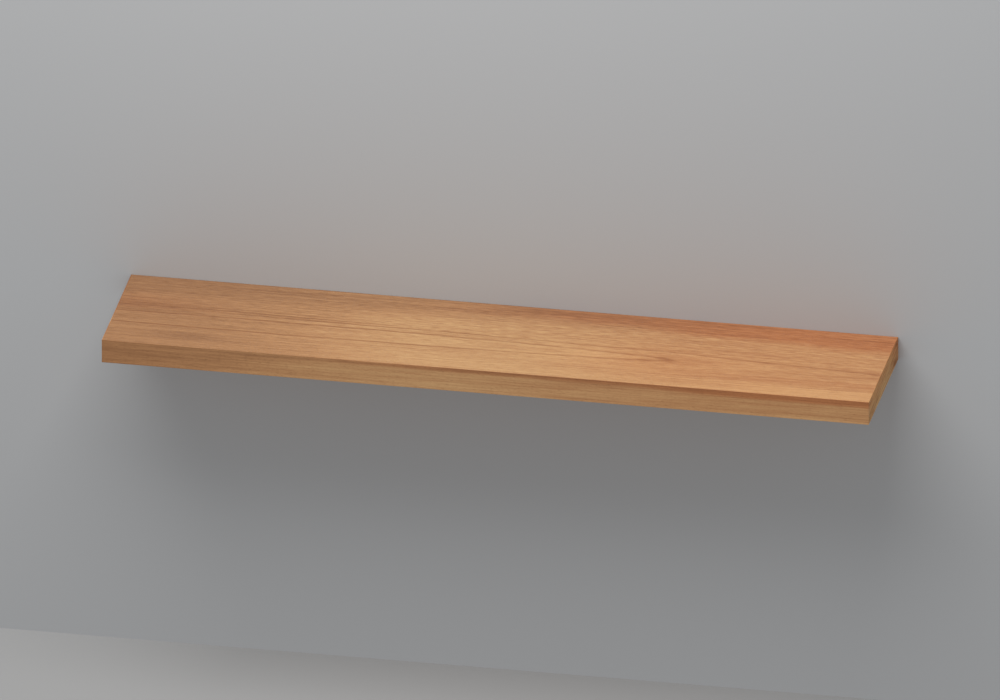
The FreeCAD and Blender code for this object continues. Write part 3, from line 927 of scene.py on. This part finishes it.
class SHELF_OT_rods(bpy.types.Operator):
    """Bright steel rods with rounded tips"""

    bl_idname = "shelf.rods"
    bl_label = "Rods"

    def execute(self, context):
        metal = context.scene.shelf_metal
        steel = metal_finish("bright_drawn_steel", metal.steel, 0.26, (0.9, 60, 0.9), 0.5)
        tip, knee, blend = 1.7, 1.35, 0.12
        for side in SIDES:
            node = f"rod_{side}"
            lathe = Lathe(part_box(node), -Y_AXIS)
            radius, reach = lathe.radius, lathe.length
            profile = [
                (0, 0),
                (radius, 0),
                (radius, reach - tip),
                (radius - blend, reach - knee),
                (radius - knee, reach - blend),
                (radius - tip, reach),
                (0, reach),
            ]
            rod = lathe.turn(profile, 64)
            finish_piece([rod], f"steel_rod_{side}", steel, BRACKET, [node])
        return {"FINISHED"}


class SHELF_OT_weld_beads(bpy.types.Operator):
    """Rippled weld beads round the foot of each rod"""

    bl_idname = "shelf.weld_beads"
    bl_label = "Weld beads"

    def execute(self, context):
        ripples = context.scene.shelf_fastenings.ripples
        sunk = 0.1
        beads = []
        for box in solid_boxes("weld_beads"):
            lathe = Lathe(box, -Y_AXIS)
            outer, tall = lathe.radius, lathe.length
            rod = outer - tall
            profile = [
                (rod - sunk, 0),
                (outer - 0.1, 0),
                (outer - 0.12, 0.35),
                (outer - 0.6, 1.1),
                (outer - 1.3, 1.9),
                (outer - 2.2, 2.65),
                (rod + 0.35, tall - 0.25),
                (rod + 0.05, tall - 0.1),
                (rod - sunk, tall - 0.1),
            ]
            bead = lathe.turn(profile, ripples * 8, closed=True)
            lathe.reshape(bead, rippled(rod, outer, ripples))
            beads.append(bead)
        finish_piece(
            beads, "weld_ripples", weld_finish(), BRACKET, ["weld_beads"], 50
        )
        return {"FINISHED"}


class SHELF_OT_wall_screws(bpy.types.Operator):
    """Countersunk wood screws with a cross recess and a cut thread"""

    bl_idname = "shelf.wall_screws"
    bl_label = "Wall screws"

    def execute(self, context):
        metal = context.scene.shelf_metal
        sizes = context.scene.shelf_fastenings
        zinc = metal_finish("yellow_zinc_plating", metal.yellow_zinc, 0.3, (2, 2, 2), 0.35, 0.35, 4)
        pitch = sizes.screw_pitch / MM
        core = sizes.screw_core / MM
        thread_edge, point, relief = 9, 5.5, 0.35
        screws = []
        for box in solid_boxes("wall_screws"):
            lathe = Lathe(box, Y_AXIS)
            head, tall = lathe.radius, lathe.length
            crest = head / 2
            neck = head - crest
            start = tall * 0.38
            end = tall - point
            profile = [
                (0, CROSS_DEPTH),
                (CROSS_MARK, CROSS_DEPTH),
                (CROSS_MARK, 0),
                (head - 0.35, 0),
                (head - 0.05, 0.12),
                (head, 0.35),
                (crest + 0.2, neck + 0.25),
                (crest - relief, neck + 1.2),
                (crest - relief, start - 1.5),
                (crest, start),
                (crest, end),
                (core, end + 1.4),
                (0, tall),
            ]
            cuts = round((end - start) / pitch * 6)
            screw = lathe.turn(profile, 48, runs=[(thread_edge, cuts)])
            lathe.reshape(screw, threaded(start, end, crest, crest - core, pitch))
            lathe.reshape(screw, recessed(CROSS_MARK, CROSS_DEPTH, cross_outline))
            screws.append(screw)
        finish_piece(screws, "wood_screws", zinc, BRACKET, ["wall_screws"])
        return {"FINISHED"}


class SHELF_OT_wall_plugs(bpy.types.Operator):
    """Nylon plugs with ribs, barbs and four legs"""

    bl_idname = "shelf.wall_plugs"
    bl_label = "Wall plugs"

    def execute(self, context):
        barb = context.scene.shelf_fastenings.barb_pitch / MM
        start, bore, body_edge, rib_start = 28.0, 2.55, 4, 3.0
        solids = []
        for box in solid_boxes("wall_plugs"):
            lathe = Lathe(box, Y_AXIS)
            radius = lathe.radius
            body = radius - 0.45
            profile = [
                (bore + 0.35, 0.0),
                (radius - 0.15, 0.0),
                (radius, 0.15),
                (radius, 1.6),
                (body, 2.2),
                (body, start + 0.1),
                (bore, start + 0.1),
                (bore, 0.4),
            ]
            collar = lathe.turn(profile, 48, closed=True, runs=[(body_edge, 6)])
            lathe.reshape(collar, ribbed(body, rib_start, start - 1))
            solids += [collar, *self.legs(lathe, start, bore, barb)]
        finish_piece(solids, "nylon_plugs", nylon_finish(), BRACKET, ["wall_plugs"], 30)
        return {"FINISHED"}

    def legs(self, lathe, start, bore, barb):
        """Four barbed legs with upright slits between them."""
        slit, root, crest = 1.2, 0.7, 0.02
        radius, tall = lathe.radius, lathe.length
        profile = [(radius - root, start)]
        height = start
        while height + barb < tall - 2.5:
            profile += [(radius - crest, height + barb * 0.82), (radius - root, height + barb)]
            height += barb
        profile += [(radius - 0.5, tall - 1.6), (radius - 1.1, tall), (bore, tall), (bore, start)]
        legs = []
        for quarter in range(4):
            leg = lathe.turn(profile, 8, closed=True, angle=QUARTER_TURN)
            lathe.reshape(leg, slit_leg(slit, quarter))
            legs.append(leg)
        return legs


class SHELF_OT_threaded_inserts(bpy.types.Operator):
    """Brass inserts, threaded inside and out, with a driving slot"""

    bl_idname = "shelf.threaded_inserts"
    bl_label = "Threaded inserts"

    def execute(self, context):
        metal = context.scene.shelf_metal
        brass = metal_finish("brass_insert", metal.brass, 0.28, (1.5, 1.5, 1.5), 0.4, 0.3, 7)
        pitch = context.scene.shelf_fastenings.lock_pitch / MM
        outer_pitch, wall = 2.0, 1.45
        outer_edge, bore_edge = 2, 6
        inserts = []
        for box in solid_boxes("threaded_inserts"):
            lathe = Lathe(box, Z_AXIS)
            radius, tall = lathe.radius, lathe.length
            bore = radius - wall
            profile = [
                (bore + 0.4, 0.0),
                (radius - 0.3, 0.0),
                (radius, 0.3),
                (radius, tall - 0.6),
                (radius - 0.6, tall),
                (bore + 0.4, tall),
                (bore, tall - 0.4),
                (bore, 0.4),
            ]
            runs = [(outer_edge, 30), (bore_edge, round(tall * 7 / pitch))]
            insert = lathe.turn(profile, 48, closed=True, runs=runs)
            lathe.reshape(insert, threaded(0.3, tall - 0.6, radius, 0.55, outer_pitch))
            lathe.reshape(insert, threaded(0.4, tall - 0.4, bore, 0.4, pitch, -1))
            lathe.reshape(insert, slotted(0.55, 1.1))
            inserts.append(insert)
        finish_piece(inserts, "brass_inserts", brass, SHELF, ["threaded_inserts"])
        return {"FINISHED"}


class SHELF_OT_lock_screws(bpy.types.Operator):
    """Black lock screws with a hexagon socket and a cup point"""

    bl_idname = "shelf.lock_screws"
    bl_label = "Lock screws"

    def execute(self, context):
        metal = context.scene.shelf_metal
        black = metal_finish("black_oxide_steel", metal.black, 0.38, (1.2, 1.2, 1.2), 0.5, 0.3, 9)
        pitch = context.scene.shelf_fastenings.lock_pitch / MM
        thread_edge, lead, point, cup = 4, 0.75, 0.8, 0.9
        for side in SIDES:
            node = f"lock_screw_{side}"
            lathe = Lathe(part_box(node), Z_AXIS)
            radius, tall = lathe.radius, lathe.length
            profile = [
                (0, SOCKET_DEPTH + 0.5),
                (SOCKET_FLAT, SOCKET_DEPTH),
                (SOCKET_FLAT, 0),
                (radius - lead, 0.0),
                (radius, lead),
                (radius, tall - point),
                (radius - point, tall),
                (radius - 1.3, tall),
                (0, tall - cup),
            ]
            screw = lathe.turn(profile, 36, runs=[(thread_edge, round(tall * 7 / pitch))])
            lathe.reshape(screw, threaded(lead, tall - point, radius, 0.42, pitch))
            lathe.reshape(screw, recessed(SOCKET_FLAT, SOCKET_DEPTH, hexagon_outline))
            finish_piece(
                [screw], f"grub_screw_{side}", black, f"{side}_lock", [node]
            )
        return {"FINISHED"}


class SHELF_OT_studio(bpy.types.Operator):
    """Wall, floor, soft light and camera"""

    bl_idname = "shelf.studio"
    bl_label = "Studio"

    def execute(self, context):
        studio = context.scene.shelf_studio
        upright = Matrix.Rotation(QUARTER_TURN, 3, "X")
        behind = Vector((0, WALL_GAP, WALL_TOP - PLANE_HALF))
        below = Vector((0, 0, -studio.floor_drop))
        self.add_plane(context, "studio_wall", studio.wall, upright, behind)
        self.add_plane(context, "studio_floor", studio.floor, Matrix.Identity(3), below)
        self.add_light(context, studio)
        self.add_world(context, studio)
        self.add_camera(context, studio)
        return {"FINISHED"}

    def add_plane(self, context, name, tint, turned, place):
        """A plane that only the camera sees, and only from its front."""
        bm = bmesh.new()
        bmesh.ops.create_grid(bm, x_segments=1, y_segments=1, size=PLANE_HALF)
        bmesh.ops.rotate(bm, verts=bm.verts, matrix=turned)
        bmesh.ops.translate(bm, verts=bm.verts, vec=place)
        mesh = bpy.data.meshes.new(name)
        bm.to_mesh(mesh)
        bm.free()
        mesh.materials.append(self.plane_finish(name, tint))
        plane = bpy.data.objects.new(name, mesh)
        context.scene.collection.objects.link(plane)
        for kind in ("shadow", "diffuse", "glossy", "transmission"):
            setattr(plane, f"visible_{kind}", False)

    def plane_finish(self, name, tint):
        """Matt paint that is clear from behind."""
        finish = Finish(name, Roughness=0.9, Specular_IOR_Level=0.1)
        finish.paint((*tint, 1.0))
        tree = finish.material.node_tree
        back = Wire(tree).node("NewGeometry", output="Backfacing")
        clear = back.node("BsdfTransparent")
        shader = Wire(tree, finish.shader.outputs[0])
        mixed = back.node("MixShader", {}, {0: back, 1: shader, 2: clear})
        output = next(n for n in tree.nodes if n.type == "OUTPUT_MATERIAL")
        tree.links.new(mixed.socket, output.inputs["Surface"])
        return finish.material

    def add_light(self, context, studio):
        """One large soft light above, in front and to the left."""
        lamp = bpy.data.lights.new("key_light", "AREA")
        lamp.shape = "RECTANGLE"
        lamp.size, lamp.size_y = KEY_SIZE
        lamp.energy = studio.key_power
        lamp.color = studio.key_tint
        light = bpy.data.objects.new("key_light", lamp)
        light.location = KEY_PLACE
        light.rotation_mode = "QUATERNION"
        light.rotation_quaternion = (KEY_AIM - light.location).to_track_quat("-Z", "Y")
        context.scene.collection.objects.link(light)

    def add_world(self, context, studio):
        """Even light from all round, and a pale background."""
        world = bpy.data.worlds.new("studio_world")
        world.use_nodes = True
        tree = world.node_tree
        rays = Wire(tree).node("LightPath").outputs()
        shown = rays["Is Camera Ray"].maths("MAXIMUM", rays["Is Glossy Ray"])
        shown = shown.maths("MAXIMUM", rays["Is Transmission Ray"])
        strength = shown * (studio.background - studio.ambient) + studio.ambient
        surface = next(n for n in tree.nodes if n.type == "BACKGROUND")
        surface.inputs["Color"].default_value = (*studio.ambient_tint, 1)
        tree.links.new(strength.socket, surface.inputs["Strength"])
        context.scene.world = world

    def add_camera(self, context, studio):
        """A camera without perspective, at the angle that shows the top, front and right end."""
        azimuth, elevation = studio.azimuth, studio.elevation
        right = Vector((math.cos(azimuth), math.sin(azimuth), 0))
        level = Vector((math.sin(azimuth), -math.cos(azimuth), 0))
        back = level * math.cos(elevation) + Z_AXIS * math.sin(elevation)
        up = back.cross(right)
        lens = bpy.data.cameras.new("camera")
        lens.type = "ORTHO"
        lens.ortho_scale = studio.picture_width
        lens.clip_end = CAMERA_REACH
        camera = bpy.data.objects.new("camera", lens)
        camera.location = right * studio.aim_right + up * studio.aim_up + back * CAMERA_DISTANCE
        camera.rotation_mode = "QUATERNION"
        camera.rotation_quaternion = back.to_track_quat("Z", "Y")
        context.scene.collection.objects.link(camera)
        context.scene.camera = camera
        context.scene.view_settings.view_transform = "Standard"


class SHELF_PT_panel(bpy.types.Panel):
    """Steps that dress the shelf, in order"""

    bl_idname = "SHELF_PT_panel"
    bl_label = "Floating wall shelf"
    bl_space_type = "VIEW_3D"
    bl_region_type = "UI"
    bl_category = "Shelf"

    def draw(self, context):
        for operator in OPERATORS:
            self.layout.operator(operator.bl_idname)
        for name, group in SETTINGS.items():
            box = self.layout.box()
            for item in group.__annotations__:
                box.prop(getattr(context.scene, name), item)


OPERATORS = (
    SHELF_OT_veneers,
    SHELF_OT_edge_bands,
    SHELF_OT_skins,
    SHELF_OT_core_frame,
    SHELF_OT_honeycomb,
    SHELF_OT_wall_plate,
    SHELF_OT_rods,
    SHELF_OT_weld_beads,
    SHELF_OT_wall_screws,
    SHELF_OT_wall_plugs,
    SHELF_OT_threaded_inserts,
    SHELF_OT_lock_screws,
    SHELF_OT_studio,
)
CLASSES = (*SETTINGS.values(), *OPERATORS, SHELF_PT_panel)


def register():
    """Adds the settings, the operators and the panel."""
    for item in CLASSES:
        bpy.utils.register_class(item)
    for name, group in SETTINGS.items():
        setattr(bpy.types.Scene, name, PointerProperty(type=group))


def unregister():
    """Takes the panel, the operators and the settings away."""
    for name in SETTINGS:
        delattr(bpy.types.Scene, name)
    for item in reversed(CLASSES):
        bpy.utils.unregister_class(item)


def main():
    """Dresses the shelf."""
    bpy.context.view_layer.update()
    register()
    for operator in OPERATORS:
        group, name = operator.bl_idname.split(".")
        getattr(getattr(bpy.ops, group), name)()


if __name__ == "__main__":
    main()
